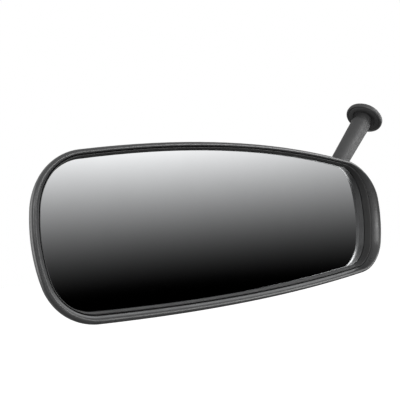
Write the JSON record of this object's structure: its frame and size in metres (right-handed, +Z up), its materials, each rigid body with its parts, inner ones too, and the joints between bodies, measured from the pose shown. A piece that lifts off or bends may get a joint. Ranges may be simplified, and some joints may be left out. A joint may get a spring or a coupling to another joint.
{
  "type": "interior rearview mirror",
  "caption": "Interior rearview mirror with a framed glass on a ball joint, carried by a bent arm that swivels in a round bayonet header mount.",
  "frame": {"origin": "middle of the flat end face of the mount plug, the end that goes into the vehicle's header", "axes": "+Z up, +X along the mirror head's long side towards the arm's side, -Y the way the glass faces"},
  "size_m": [0.2985, 0.0719, 0.1293],
  "materials": {
    "shell_plastic": "fine moulded grain, charcoal",
    "rim_plastic": "satin charcoal",
    "bezel_plastic": "satin black",
    "mirror": "silvered glass",
    "foam": "open-cell foam",
    "steel": "zinc plated",
    "coated_steel": "black powder coat",
    "nylon": "natural acetal",
    "sleeve_plastic": "satin charcoal",
    "rubber": "matt black"
  },
  "bodies": {
    "mount": {"flange_disc": "sleeve_plastic", "flange_gasket": "rubber", "mount_plug": "shell_plastic", "thrust_washer": "nylon"},
    "arm": {"arm_rod": "coated_steel", "ball_stud": "steel", "stem_sleeve": "sleeve_plastic", "sleeve_ferrule": "coated_steel", "arm_spindle": "coated_steel", "retaining_clip": "steel", "cone_spring": "steel"},
    "liner": {"ball_liner": "nylon"},
    "cup": {"pressure_cup": "nylon"},
    "head": {"front_rim": "rim_plastic", "glass_bezel": "bezel_plastic", "mirror_glass": "mirror", "glass_foam": "foam", "carrier_plate": "shell_plastic", "rear_shell": "shell_plastic", "shell_screw_1": "steel", "shell_screw_2": "steel", "shell_screw_3": "steel", "shell_screw_4": "steel", "housing_screw_1": "steel", "housing_screw_2": "steel", "housing_screw_3": "steel", "ball_housing": "shell_plastic", "housing_trim_ring": "rim_plastic", "front_seat": "nylon", "clamp_spring": "steel"}
  },
  "joints": [
    {"name": "arm_swivel", "type": "hinge", "parent": "mount", "child": "arm", "pos_m": [0, 0, 0], "axis": [0.6699, -0.112, 0.7339], "range_deg": [-25, 25]},
    {"name": "head_yaw", "type": "hinge", "parent": "arm", "child": "liner", "pos_m": [-0.17352, -0.00276, -0.08254], "axis": [0, 0, 1], "range_deg": [-20, 6]},
    {"name": "head_pitch", "type": "hinge", "parent": "liner", "child": "cup", "pos_m": [-0.17352, -0.00276, -0.08254], "axis": [1, 0, 0], "range_deg": [-10, 10]},
    {"name": "head_roll", "type": "hinge", "parent": "cup", "child": "head", "pos_m": [-0.17352, -0.00276, -0.08254], "axis": [0, 1, 0], "range_deg": [-8, 8]}
  ]
}
